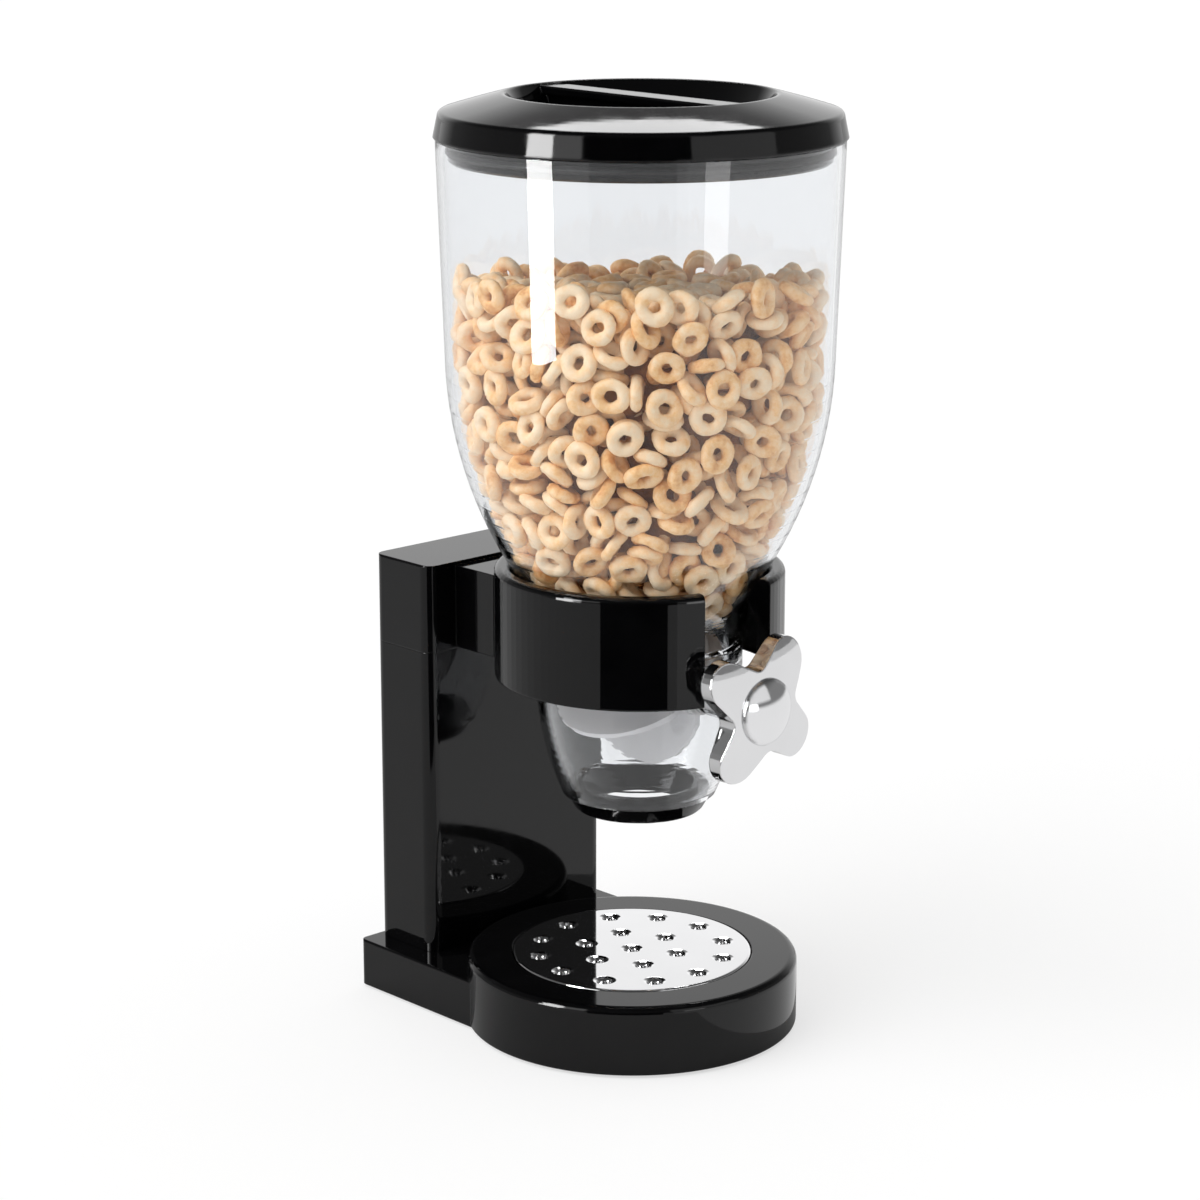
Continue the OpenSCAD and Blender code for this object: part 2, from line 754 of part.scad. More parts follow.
module collar_bracket() {
    turn = 360 - 2 * gap_half;
    color([0.05, 0.05, 0.055])
        difference() {
            union() {
                rotate([0, 0, -90 + gap_half])
                    rotate_extrude(angle = turn)
                        collar_section();
                for (a = [0, turn - end_wall_angle])
                    rotate([0, 0, -90 + gap_half + a])
                        rotate_extrude(angle = end_wall_angle)
                            collar_end_section();
                for (k = [0:seat_ribs - 1])
                    rotate([0, 0, -90 + gap_half + turn * (k + 0.5) / seat_ribs])
                        seat_rib();
                translate([0, 0, arm_z])
                    linear_extrude(arm_h)
                        arm_plan(0);
                block_solid();
                // spigot that drops into the column, and the screw pillars
                translate([0, 0, seam_z - spigot_h])
                    linear_extrude(spigot_h + eps)
                        difference() {
                            column_plan(col_wall + fit_gap);
                            column_plan(block_wall);
                        }
                for (x = [-1, 1])
                    translate([x * bracket_screw_x, col_mid_y, seam_z - spigot_h])
                        cylinder(h = spigot_h + bracket_boss_h, r = bracket_boss_r);
            }
            bracket_hollow();
            for (x = [-1, 1])
                translate([x * bracket_screw_x, col_mid_y, seam_z - spigot_h - cut])
                    cylinder(h = spigot_h + bracket_boss_h - 2 * cut, r = screw_r);
        }
}

// ---------------------------------------------------------------- crumb tray

// Hollow of a dish with its drain hole, its mouth at the tray's top
module dish_hollow() {
    rotate_extrude()
        polygon(concat(
            [[0, -tray_edge_h - cut], [drain_r, -tray_edge_h - cut]],
            [for (i = [0:dish_steps]) let (a = 90 * i / dish_steps) [
                drain_r + (dish_r - drain_r) * (1 - cos(a)),
                dish_skin - tray_edge_h + (tray_edge_h - dish_skin) * sin(a)
            ]],
            [[dish_r, cut], [0, cut]]
        ));
}

module crumb_tray() {
    color([0.8, 0.8, 0.82])
        translate([0, disc_y, tray_z])
            difference() {
                union() {
                    rotate_extrude()
                        polygon(concat(
                            [[0, -tray_t], [tray_r - tray_edge_w, -tray_t]],
                            [[tray_r - tray_edge_w, -tray_edge_h], [tray_r, -tray_edge_h]],
                            arc(tray_r - edge, -edge, edge, 0, 90),
                            [[0, 0]]
                        ));
                    for (p = holes)
                        translate([p.x, p.y, -tray_edge_h])
                            cylinder(h = tray_edge_h - dish_skin / 2,
                                r1 = drain_r + dish_skin + 0.3, r2 = dish_r + dish_skin);
                }
                for (p = holes)
                    translate([p.x, p.y, 0])
                        dish_hollow();
            }
}

// ---------------------------------------------------------------- canister and chamber

// Angle at which bayonet lug k begins
function lug_start(k) = 90 + 180 / lug_count + 360 * k / lug_count - lug_angle / 2;

module canister() {
    color([0.85, 0.9, 0.95, 0.4]) {
        rotate_extrude()
            polygon(concat(
                [[can_r + rim_lip, can_top_z], [can_r + rim_lip, can_top_z - rim_h]],
                [for (p = can_line(0)) if (p.y < can_top_z - rim_h) p],
                reversed(can_line(can_wall))
            ));
        // bayonet lugs on the neck
        for (k = [0:lug_count - 1])
            rotate([0, 0, lug_start(k)])
                translate([0, 0, lug_z])
                    rotate_extrude(angle = lug_angle)
                        translate([neck_r - 0.5, 0])
                            square([lug_out + 0.5, lug_h]);
    }
}

module neck_gasket() {
    color([0.9, 0.9, 0.9])
        translate([0, 0, ledge_z + ledge_t])
            difference() {
                cylinder(h = gasket_t, r = neck_r);
                translate([0, 0, -cut])
                    cylinder(h = gasket_t + 2 * cut, r = ledge_in_r + rest_gap);
            }
}

// Bayonet slots inside the socket: down, then along
module lug_slots() {
    for (k = [0:lug_count - 1])
        rotate([0, 0, lug_start(k) - lug_play])
            translate([0, 0, lug_z - fit_gap]) {
                rotate_extrude(angle = 2 * (lug_angle + 2 * lug_play))
                    translate([socket_r - cut, 0])
                        square([lug_out + cut, lug_h + 2 * fit_gap]);
                rotate([0, 0, lug_angle + 2 * lug_play])
                    rotate_extrude(angle = lug_angle + 2 * lug_play)
                        translate([socket_r - cut, 0])
                            square([lug_out + cut, socket_h]);
            }
}

module chamber() {
    color([0.85, 0.88, 0.98, 0.4])
        difference() {
            union() {
                rotate_extrude()
                    polygon(concat(
                        [[socket_r, socket_top_z]],
                        arc(chamber_r - socket_round, socket_top_z - socket_round, socket_round, 90, 0),
                        bowl_line(0, chamber_foot_z),
                        [
                            [foot_out_r, chamber_foot_z],
                            [foot_out_r, chamber_foot_z - foot_h],
                            [foot_in_r, chamber_foot_z - foot_h],
                            [foot_in_r, chamber_foot_z + bowl_floor_t]
                        ],
                        reversed(bowl_line(chamber_wall, chamber_foot_z + bowl_floor_t + 0.6)),
                        [
                            [chamber_in_r, ledge_z - 2],
                            [ledge_in_r, ledge_z],
                            [ledge_in_r, ledge_z + ledge_t],
                            [socket_r, ledge_z + ledge_t]
                        ]
                    ));
                // shaft bosses, front and rear
                along_y(pad_y, front_boss_y, boss_r);
                along_y(-rear_boss_y, -pad_y, boss_r);
            }
            along_y(pad_y - cut, front_boss_y + cut, bush_r + run_gap);
            along_y(-pad_y - bush_len, -pad_y + cut, bush_r + run_gap);
            // spot faces for the bushes' flanges
            along_y(ledge_in_r - cut, pad_y, boss_r + fit_gap);
            along_y(-pad_y, -ledge_in_r + cut, boss_r + fit_gap);
            lug_slots();
        }
}

module outlet_ring() {
    color([0.05, 0.05, 0.055])
        rotate_extrude()
            polygon([
                [outlet_bore_r + edge, outlet_z],
                [outlet_foot_r - edge, outlet_z],
                [outlet_foot_r, outlet_z + edge],
                [outlet_band_r, outlet_top_z],
                [foot_out_r + fit_gap, outlet_top_z],
                [foot_out_r + fit_gap, chamber_foot_z - foot_h],
                [foot_in_r - fit_gap, chamber_foot_z - foot_h],
                [foot_in_r - fit_gap, outlet_z + outlet_lip_h - outlet_skin],
                [foot_in_r - fit_gap - outlet_skin / 2, outlet_z + outlet_lip_h],
                [funnel_top_r, outlet_z + outlet_lip_h],
                [outlet_bore_r, outlet_z + 2 * edge],
                [outlet_bore_r, outlet_z + edge]
            ]);
}

module front_bush() {
    color([0.92, 0.92, 0.9])
        difference() {
            union() {
                along_y(pad_y, front_boss_y, bush_r);
                along_y(pad_y - bush_flange_t, pad_y, boss_r);
            }
            along_y(pad_y - bush_flange_t - cut, front_boss_y + cut, shaft_r + run_gap);
        }
}

module rear_bush() {
    color([0.92, 0.92, 0.9])
        difference() {
            union() {
                along_y(-pad_y - bush_len, -pad_y, bush_r);
                along_y(-pad_y, -pad_y + bush_flange_t, boss_r);
            }
            along_y(-shaft_rear_y - rest_gap, -pad_y + bush_flange_t + cut, shaft_r + run_gap);
        }
}

// ---------------------------------------------------------------- portion wheel and knob

module shaft() {
    color([0.75, 0.75, 0.77])
        difference() {
            union() {
                along_y(-shaft_rear_y, -hub_half, shaft_r);
                along_y(hub_half, front_boss_y, shaft_r);
                drive_along_y(-hub_half, hub_half);
                drive_along_y(front_boss_y, shaft_front_y);
            }
            // groove for the seal
            translate([0, -seal_y, axle_z])
                rotate([90, 0, 0])
                    rotate_extrude()
                        translate([seal_r - seal_wire - seal_play, -seal_wire - seal_play])
                            square([2 * seal_wire + cut, 2 * (seal_wire + seal_play)]);
            // hole for the knob's screw
            along_y(shaft_front_y - knob_screw_l - cut, shaft_front_y + cut, knob_screw_r);
        }
}

module shaft_seal() {
    color([0.15, 0.15, 0.15])
        translate([0, -seal_y, axle_z])
            rotate([90, 0, 0])
                rotate_extrude()
                    translate([seal_r, 0])
                        circle(seal_wire);
}

// Keys on the core that turn the sleeve with it, larger by grow
module core_keys(grow = 0) {
    for (k = [0:key_count - 1])
        translate([0, 0, axle_z])
            rotate([0, 360 * k / key_count, 0])
                translate([-key_t / 2 - grow, -sleeve_half, 0])
                    cube([key_t + 2 * grow, 2 * sleeve_half, core_r + key_h + grow]);
}

module wheel_core() {
    color([0.93, 0.93, 0.92])
        difference() {
            union() {
                along_y(-hub_half, hub_half, core_r);
                // end collars that hold the silicone sleeve in place
                along_y(-hub_half, -sleeve_half, sleeve_r - 0.6);
                along_y(sleeve_half, hub_half, sleeve_r - 0.6);
                core_keys();
            }
            drive_along_y(-hub_half - cut, hub_half + cut, run_gap);
        }
}

// Half-round paddle standing up from the axis, thicker at its root
module paddle() {
    intersection() {
        rotate([90, 0, 90])
            translate([0, 0, -paddle_root_t])
                linear_extrude(2 * paddle_root_t)
                    intersection() {
                        circle(paddle_r);
                        translate([-sleeve_half + fit_gap, core_r + sleeve_t / 3])
                            square([2 * (sleeve_half - fit_gap), paddle_r]);
                    }
        rotate([90, 0, 0])
            translate([0, 0, -paddle_r])
                linear_extrude(2 * paddle_r)
                    polygon([
                        [-paddle_root_t / 2, 0], [paddle_root_t / 2, 0],
                        [paddle_t / 2, paddle_r], [-paddle_t / 2, paddle_r]
                    ]);
    }
}

module paddle_wheel() {
    color([0.95, 0.95, 0.95])
        difference() {
            union() {
                along_y(-sleeve_half + fit_gap, sleeve_half - fit_gap, sleeve_r);
                translate([0, 0, axle_z])
                    for (k = [0:paddle_count - 1])
                        rotate([0, 360 * k / paddle_count + 180, 0])
                            paddle();
            }
            along_y(-hub_half, hub_half, core_r + seal_play);
            core_keys(seal_play);
        }
}

// Outline of the knob, drawn in by w: round lobes whose straight sides run into hollows
function knob_outline(w) = [
    for (k = [0:lobe_count - 1])
        let (
            turn = k * 360 / lobe_count,
            mid = turn + 180 / lobe_count
        )
            each concat(
                arc(lobe_reach * cos(turn), lobe_reach * sin(turn), lobe_r - w,
                    turn - lobe_sweep, turn + lobe_sweep, lobe_steps),
                arc(hollow_d * cos(mid), hollow_d * sin(mid), hollow_r + w,
                    mid + 180 + hollow_sweep, mid + 180 - hollow_sweep, hollow_steps)
            )
];

// Solid under a dome of radius r and reach b, its top at the origin and facing -Y
module dome(r, b) {
    rotate([90, 0, 0])
        rotate_extrude()
            intersection() {
                translate([0, -r])
                    circle(r, $fn = 180);
                translate([0, -2 * knob_t])
                    square([b, 2 * knob_t + cut]);
            }
}

// Stretch of the knob between two planes, under a dome of the face's radius
module knob_slab(w, y0, y1, face_y) {
    intersection() {
        translate([0, -y0, axle_z])
            rotate([90, 0, 0])
                linear_extrude(y1 - y0)
                    rotate(lobe_turn)
                        polygon(knob_outline(w));
        translate([0, -face_y, axle_z])
            dome(knob_dome_arc, lobe_reach + lobe_r + cut);
    }
}

module knob() {
    color([0.82, 0.82, 0.84])
        difference() {
            union() {
                difference() {
                    knob_slab(0, knob_back_y, knob_face_y + cut, knob_face_y);
                    knob_slab(knob_wall, knob_back_y - cut, knob_face_y, knob_face_y - knob_wall);
                }
                along_y(knob_hub_y, knob_face_y - cap_seat_t, knob_hub_r);
                // plate under the cap
                along_y(knob_face_y - cap_seat_t - cap_plate_t, knob_face_y - cap_seat_t, cap_r + edge);
                // ribs from the hub out into the lobes
                intersection() {
                    knob_slab(knob_wall / 2, knob_back_y + edge, knob_face_y, knob_face_y - knob_wall / 2);
                    for (k = [0:lobe_count - 1])
                        translate([0, -knob_back_y, axle_z])
                            rotate([0, -lobe_turn - k * 360 / lobe_count, 0])
                                translate([0, -knob_t, -rib_t / 2])
                                    cube([lobe_reach + lobe_r, knob_t, rib_t]);
                }
            }
            drive_along_y(knob_hub_y - cut, shaft_front_y, run_gap);
            along_y(shaft_front_y - cut, knob_face_y - cap_seat_t + cut, knob_screw_r + fit_gap);
            along_y(knob_face_y - cap_seat_t, knob_face_y + cut, cap_r + run_gap);
        }
}

module knob_screw() {
    color([0.7, 0.7, 0.72])
        union() {
            along_y(shaft_front_y - knob_screw_l, knob_face_y - cap_seat_t, knob_screw_r);
            along_y(knob_face_y - cap_seat_t, knob_face_y - cap_seat_t + cap_pocket_h - fit_gap,
                cap_pocket_r - 1);
        }
}

module knob_cap() {
    color([0.85, 0.85, 0.87])
        difference() {
            intersection() {
                along_y(knob_face_y - cap_seat_t, knob_face_y + cap_rise, cap_r);
                translate([0, -knob_face_y - cap_rise, axle_z])
                    dome(cap_arc, cap_r + cut);
            }
            // pocket that clears the screw's head
            along_y(knob_face_y - cap_seat_t - cut, knob_face_y - cap_seat_t + cap_pocket_h, cap_pocket_r);
        }
}

// ---------------------------------------------------------------- lid

// Height of the lid's domed top at radius r, between the shoulder and the recess rim
function lid_top_z(r) =
    let (t = (shoulder_r - r) / (shoulder_r - recess_r - edge))
        shoulder_z + lid_rise * t * (1 + lid_crown * (1 - t));

// Lid's top line from the shoulder to the recess rim, lowered by w
function lid_line(w) = [
    for (i = [0:lid_steps])
        let (r = shoulder_r - (shoulder_r - recess_r - edge) * i / lid_steps)
            [r, lid_top_z(r) - w]
];

// Section of the cover: skirt, domed top, recess wall and floor
module cover_section() {
    under = lid_line(lid_wall);
    polygon(concat(
        [[lid_r - lid_wall, skirt_z], [lid_r - skirt_edge, skirt_z], [lid_r, skirt_z + skirt_edge]],
        arc(crease_r - lid_edge_r, crease_z, lid_edge_r, 0, shoulder_turn),
        [for (i = [1:lid_steps]) lid_line(0)[i]],
        arc(recess_r, crest_z - edge, edge, 80, 170, edge_steps - 1),
        [
            [floor_r + floor_round, recess_floor_z + floor_round],
            [floor_r, recess_floor_z],
            [0, recess_floor_z],
            [0, recess_floor_z - lid_wall],
            [floor_r + lid_wall, recess_floor_z - lid_wall],
            [recess_r + lid_wall, crest_z - lid_wall - rim_drop]
        ],
        [for (i = [lid_steps - 1:-1:1]) under[i]],
        [[crease_r - lid_wall, crease_z]]
    ));
}

// Section of the clip ring, whose hook and shoulder hold the plug moulding's flange
module clip_section() {
    polygon([
        [clip_r - clip_wall, plug_flange_z - clip_drop],
        [clip_r, plug_flange_z - clip_drop],
        [clip_r + clip_hook, plug_flange_z - clip_hook],
        [clip_r + clip_hook, plug_flange_z],
        [clip_r, plug_flange_z],
        [clip_r, plug_top_z],
        [clip_r + clip_hook, plug_top_z],
        [clip_r + clip_hook, lid_top_z(clip_r + clip_hook) - lid_wall / 2],
        [clip_r - clip_wall, lid_top_z(clip_r) - lid_wall / 2]
    ]);
}

// Grip bar across the recess: a web with a wider flat top
module grip_bar() {
    intersection() {
        union() {
            translate([-grip_w / 2, -recess_r - cut, crest_z - grip_sink - grip_top_t])
                cube([grip_w, 2 * (recess_r + cut), grip_top_t]);
            translate([-grip_web_w / 2, -recess_r - cut, recess_floor_z - lid_wall / 2])
                cube([grip_web_w, 2 * (recess_r + cut), recess_depth - grip_sink]);
        }
        translate([0, 0, recess_floor_z - lid_wall / 2])
            cylinder(h = recess_depth + lid_wall / 2, r1 = floor_r + edge / 2, r2 = recess_r + edge);
    }
}

module lid_cover() {
    color([0.05, 0.05, 0.055]) {
        rotate_extrude()
            cover_section();
        rotate_extrude()
            clip_section();
        grip_bar();
    }
}

module lid_plug() {
    color([0.06, 0.06, 0.065])
        rotate_extrude()
            polygon([
                [clip_r + fit_gap, plug_flange_z],
                [plug_r - plug_wall, plug_flange_z],
                [plug_r - plug_wall, plug_bottom_z],
                [plug_r - edge, plug_bottom_z],
                [plug_r, plug_bottom_z + edge],
                [plug_r, gasket_z],
                [plug_r - gasket_seat, gasket_z],
                [plug_r - gasket_seat, gasket_z + gasket_h],
                [plug_r, gasket_z + gasket_h],
                [plug_r, plug_top_z],
                [clip_r + fit_gap, plug_top_z]
            ]);
}

module lid_gasket() {
    bead_r = gasket_h / 4;
    color([0.2, 0.2, 0.21])
        rotate_extrude()
            polygon(concat(
                [[plug_r - gasket_seat, gasket_z], [plug_r + rest_gap, gasket_z]],
                arc(gasket_r - bead_r, gasket_z + gasket_h / 2, bead_r, -90, 90),
                [[plug_r + rest_gap, gasket_z + gasket_h], [plug_r - gasket_seat, gasket_z + gasket_h]]
            ));
}

// Moves a piece from the canister's axis to its place in the object's frame
module place() {
    translate([0, -middle_y, 0])
        children();
}

place() base_shell();
place() rubber_feet();
place() column();
place() column_screws();
place() collar_bracket();
place() bracket_screws();
place() crumb_tray();
place() canister();
place() neck_gasket();
place() chamber();
place() outlet_ring();
place() front_bush();
place() rear_bush();
place() shaft();
place() shaft_seal();
place() wheel_core();
place() paddle_wheel();
place() knob();
place() knob_screw();
place() knob_cap();
place() lid_cover();
place() lid_plug();
place() lid_gasket();
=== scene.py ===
import math
import random

import bpy
import numpy as np
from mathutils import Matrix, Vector


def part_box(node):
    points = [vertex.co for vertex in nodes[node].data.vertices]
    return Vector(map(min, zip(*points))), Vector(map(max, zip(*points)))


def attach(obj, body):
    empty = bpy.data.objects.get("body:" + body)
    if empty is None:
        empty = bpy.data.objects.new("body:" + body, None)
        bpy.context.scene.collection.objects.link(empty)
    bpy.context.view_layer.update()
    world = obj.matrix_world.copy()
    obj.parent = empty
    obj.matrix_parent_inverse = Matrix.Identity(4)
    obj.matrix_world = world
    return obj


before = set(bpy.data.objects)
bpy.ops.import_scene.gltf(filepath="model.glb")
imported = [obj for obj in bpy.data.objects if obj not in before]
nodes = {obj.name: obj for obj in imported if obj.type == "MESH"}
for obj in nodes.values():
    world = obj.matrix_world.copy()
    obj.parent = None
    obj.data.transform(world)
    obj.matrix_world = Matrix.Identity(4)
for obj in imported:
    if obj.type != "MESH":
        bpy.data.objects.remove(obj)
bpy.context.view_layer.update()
MM = 0.001
WHITE = (1, 1, 1, 1)
CAN_LO, CAN_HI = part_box("canister")
# the canister's axis at table level
AXIS = Vector(((CAN_LO.x + CAN_HI.x) / 2, (CAN_LO.y + CAN_HI.y) / 2, 0))


# ---------------------------------------------------------------- camera
CAMERA_TURN = math.radians(-43.171)  # the camera's azimuth; it looks along +Y turned by this
CAMERA_TILT = math.radians(75.603)  # from straight down, so it looks 14.4 degrees below the horizon
CAMERA_FROM_AXIS = Vector((-0.95197, -0.99098, 0.53711))


def make_camera():
    data = bpy.data.cameras.new("camera")
    data.sensor_fit = "HORIZONTAL"
    data.sensor_width = 36
    data.lens = 103.04
    data.clip_start = 0.01
    data.clip_end = 60
    cam = bpy.data.objects.new("camera", data)
    cam.location = AXIS + CAMERA_FROM_AXIS
    cam.rotation_euler = (CAMERA_TILT, 0, CAMERA_TURN)
    bpy.context.scene.collection.objects.link(cam)
    bpy.context.scene.camera = cam


# ---------------------------------------------------------------- node helpers
def new_material(name):
    mat = bpy.data.materials.new(name)
    mat.use_nodes = True
    tree = mat.node_tree
    tree.nodes.clear()
    return mat, tree, add(tree, "ShaderNodeOutputMaterial")


def add(tree, kind, **values):
    """A new node. A value is set on the property of that name or else on the socket, with _ for a space."""
    n = tree.nodes.new(kind)
    for key, value in values.items():
        if hasattr(n, key):
            setattr(n, key, value)
        else:
            n.inputs[key.replace("_", " ")].default_value = value
    return n


def join(tree, a, output, b, socket):
    """Links two nodes; output and socket are names or numbers."""
    tree.links.new(a.outputs[output], b.inputs[socket])


def surface(name, **values):
    """A material of one Principled shader, with its tree, that shader and the object's coordinates."""
    mat, tree, out = new_material(name)
    shader = add(tree, "ShaderNodeBsdfPrincipled", **values)
    join(tree, shader, "BSDF", out, "Surface")
    return mat, tree, shader, add(tree, "ShaderNodeTexCoord")


def noise(tree, coords, scale, detail=3.0, rough=0.5, output="Object"):
    n = add(tree, "ShaderNodeTexNoise", Scale=scale, Detail=detail, Roughness=rough)
    join(tree, coords, output, n, "Vector")
    return n


def spread(tree, source, output, lo, hi, low=0.3, high=0.7):
    """Maps a value between low and high onto lo..hi."""
    m = add(tree, "ShaderNodeMapRange", From_Min=low, From_Max=high, To_Min=lo, To_Max=hi)
    join(tree, source, output, m, "Value")
    return m


def ramp(tree, source, output, stops):
    r = add(tree, "ShaderNodeValToRGB")
    el = r.color_ramp.elements
    while len(el) < len(stops):
        el.new(0.5)
    for e, (pos, col) in zip(el, stops):
        e.position = pos
        e.color = (*col, 1)
    join(tree, source, output, r, "Fac")
    return r


def tint(tree, shader, source, dark, light, low=0.3, high=0.7):
    """Base colour that goes from dark to light with a noise."""
    join(tree, ramp(tree, source, "Fac", [(low, dark), (high, light)]), "Color", shader, "Base Color")


def roughen(tree, shader, source, lo, hi):
    """Roughness that goes from lo to hi with a noise."""
    join(tree, spread(tree, source, "Fac", lo, hi), "Result", shader, "Roughness")


def relief(tree, shader, source, strength, distance):
    """Fine relief in the shader's normal, after a noise."""
    b = add(tree, "ShaderNodeBump", Strength=strength, Distance=distance)
    join(tree, source, "Fac", b, "Height")
    join(tree, b, "Normal", shader, "Normal")
    return b


def mould(tree, shader, coords, scale, strength, distance, edge):
    """The faint waves of a moulded face, and a normal that turns smoothly over its edges."""
    b = relief(tree, shader, noise(tree, coords, scale, 1), strength, distance)
    join(tree, add(tree, "ShaderNodeBevel", samples=6, Radius=edge), "Normal", b, "Normal")


def mix_shaders(tree, share, first, second):
    """A shader that is first where share is 0 and second where it is 1."""
    m = add(tree, "ShaderNodeMixShader")
    join(tree, share, "Value", m, "Fac")
    join(tree, first, 0, m, 1)
    join(tree, second, 0, m, 2)
    return m


# ---------------------------------------------------------------- materials
def gloss_black(name, edge):
    mat, t, p, c = surface(name, IOR=1.42)
    tint(t, p, noise(t, c, 60), (0.001, 0.001, 0.0012), (0.002, 0.002, 0.0023))
    roughen(t, p, noise(t, c, 140, 4), 0.035, 0.075)
    mould(t, p, c, 22, 0.1, 0.0004, edge)
    return mat


def clear_plastic():
    """Clear to look at, and open to the light that falls on what it holds."""
    mat, t, out = new_material("clear_plastic")
    p = add(t, "ShaderNodeBsdfPrincipled", IOR=1.49, Transmission_Weight=1)
    c = add(t, "ShaderNodeTexCoord")
    tint(t, p, noise(t, c, 18), (0.905, 0.916, 0.93), (0.915, 0.925, 0.937))
    roughen(t, p, noise(t, c, 160, 4), 0.0, 0.02)
    see = add(t, "ShaderNodeBsdfTransparent", Color=(0.985, 0.985, 0.99, 1))
    path = add(t, "ShaderNodeLightPath")
    lit = add(t, "ShaderNodeMath", operation="MAXIMUM")
    join(t, path, "Is Shadow Ray", lit, 0)
    join(t, path, "Is Diffuse Ray", lit, 1)
    join(t, mix_shaders(t, lit, p, see), "Shader", out, "Surface")
    return mat


def chrome(name, base, wave, edge):
    mat, t, p, c = surface(name, Metallic=1.0)
    tint(t, p, noise(t, c, 45), tuple(v * 0.97 for v in base), base)
    roughen(t, p, noise(t, c, 220, 5), 0.02, 0.06)
    mould(t, p, c, 30, wave, 0.0005, edge)
    return mat


def brushed_steel():
    mat, t, p, c = surface("steel", Metallic=1.0)
    stretch = add(t, "ShaderNodeMapping", Scale=(1, 0.05, 1))
    join(t, c, "Object", stretch, "Vector")
    line = noise(t, stretch, 900, 2, output="Vector")
    tint(t, p, line, (0.45, 0.45, 0.46), (0.6, 0.6, 0.61))
    roughen(t, p, line, 0.25, 0.4)
    return mat


def matt(name, dark, light, rough, grain, depth):
    mat, t, p, c = surface(name, IOR=1.42)
    tint(t, p, noise(t, c, grain / 8), dark, light)
    fine = noise(t, c, grain, 4)
    roughen(t, p, fine, rough - 0.06, rough + 0.06)
    relief(t, p, fine, 0.25, depth)
    return mat


def cereal_material():
    """Toasted patches over a tone that differs from ring to ring."""
    mat, t, p, c = surface("toasted_cereal", IOR=1.4)
    patch = noise(t, c, 150, 4, 0.65)
    each = add(t, "ShaderNodeNewGeometry")
    tone = add(t, "ShaderNodeMath", operation="MULTIPLY_ADD")
    tone.inputs[1].default_value = 0.22
    join(t, each, "Random Per Island", tone, 0)
    join(t, patch, "Fac", tone, 2)
    toast = [
        (0.34, (0.74, 0.33, 0.1)),
        (0.48, (0.93, 0.56, 0.24)),
        (0.6, (0.98, 0.67, 0.37)),
        (0.75, (0.98, 0.77, 0.52)),
    ]
    join(t, ramp(t, tone, "Value", toast), "Color", p, "Base Color")
    fine = noise(t, c, 420, 5, 0.65)
    roughen(t, p, fine, 0.5, 0.8)
    relief(t, p, fine, 0.6, 0.0007)
    return mat


def painted_gap_shade_material():
    """Painted shade: a dark brown for the heap's hidden middle, so the gaps between the rings look deep in
    shade.
    """
    mat, t, p, c = surface("cereal_shade", Roughness=0.9)
    tint(t, p, noise(t, c, 120, 4, 0.6), (0.16, 0.05, 0.008), (0.42, 0.16, 0.03), 0.35, 0.65)
    return mat


def dress_nodes():
    """Gives each CAD piece the finish of its material class; lid cover and knob cap have softer edges."""
    black = gloss_black("gloss_black", 0.0006)
    lid_black = gloss_black("gloss_black_lid", 0.0016)
    clear = clear_plastic()
    knob_chrome = chrome("chrome_knob", (0.82, 0.82, 0.83), 0.03, 0.001)
    tray_chrome = chrome("chrome_steel", (0.94, 0.94, 0.95), 0.04, 0.0004)
    cap_chrome = chrome("chrome_cap", (0.86, 0.86, 0.87), 0.03, 0.003)
    finish = {
        "gloss_black": black,
        "clear_plastic": clear,
        "chrome_knob": knob_chrome,
        "chrome_steel": tray_chrome,
        "steel": brushed_steel(),
        "white_silicone": matt("white_silicone", (0.74, 0.74, 0.75), (0.8, 0.8, 0.81), 0.4, 500, 0.0001),
        "white_plastic": matt("white_plastic", (0.72, 0.72, 0.71), (0.78, 0.78, 0.77), 0.3, 700, 0.0001),
        "black_rubber": matt("black_rubber", (0.012,) * 3, (0.02,) * 3, 0.7, 900, 0.0002),
    }
    for o in nodes.values():
        for s in o.material_slots:
            s.material = finish[s.material.name.split(".")[0]] if s.material else black
    for name, mat in (("lid_cover", lid_black), ("knob_cap", cap_chrome)):
        for s in nodes[name].material_slots:
            s.material = mat


# ---------------------------------------------------------------- canister's inner wall, in mm
NECK_R, CAN_R, BELLY_R = 39.8, 81.6, 79.2
CAN_WALL = 2.5
NECK_FOOT_Z, NECK_TOP_Z, BELLY_Z, CAN_TOP_Z = 163.0, 174.1, 285.95, 374.95
DRAFT_H = 89  # height over which the wall widens from BELLY_R to CAN_R
NECK_ROUND, BELLY_ROUND = 14, 172.0  # radii of the curves from neck to funnel and from funnel to wall
FUNNEL_SLOPE = math.radians(32)  # from the vertical


def canister_line():
    """Inner wall of the canister as (radius, height) pairs, from the neck up."""
    draft = math.atan((CAN_R - BELLY_R) / DRAFT_H)
    pts = [(NECK_R - CAN_WALL, NECK_FOOT_Z), (NECK_R - CAN_WALL, NECK_TOP_Z)]
    neck_arc = NECK_ROUND + CAN_WALL
    for i in range(1, 6):
        a = FUNNEL_SLOPE * i / 5
        pts.append((NECK_R + NECK_ROUND - neck_arc * math.cos(a), NECK_TOP_Z + neck_arc * math.sin(a)))
    cx = BELLY_R - BELLY_ROUND * math.cos(draft)
    cz = BELLY_Z + BELLY_ROUND * math.sin(draft)
    belly_arc = BELLY_ROUND - CAN_WALL
    for i in range(0, 13):
        a = FUNNEL_SLOPE + (draft - FUNNEL_SLOPE) * i / 12
        pts.append((cx + belly_arc * math.cos(a), cz - belly_arc * math.sin(a)))
    pts.append((CAN_R - CAN_WALL, CAN_TOP_Z))
    return np.array(pts)


WALL = canister_line()


def inner_r(z):
    return np.interp(z, WALL[:, 1], WALL[:, 0])


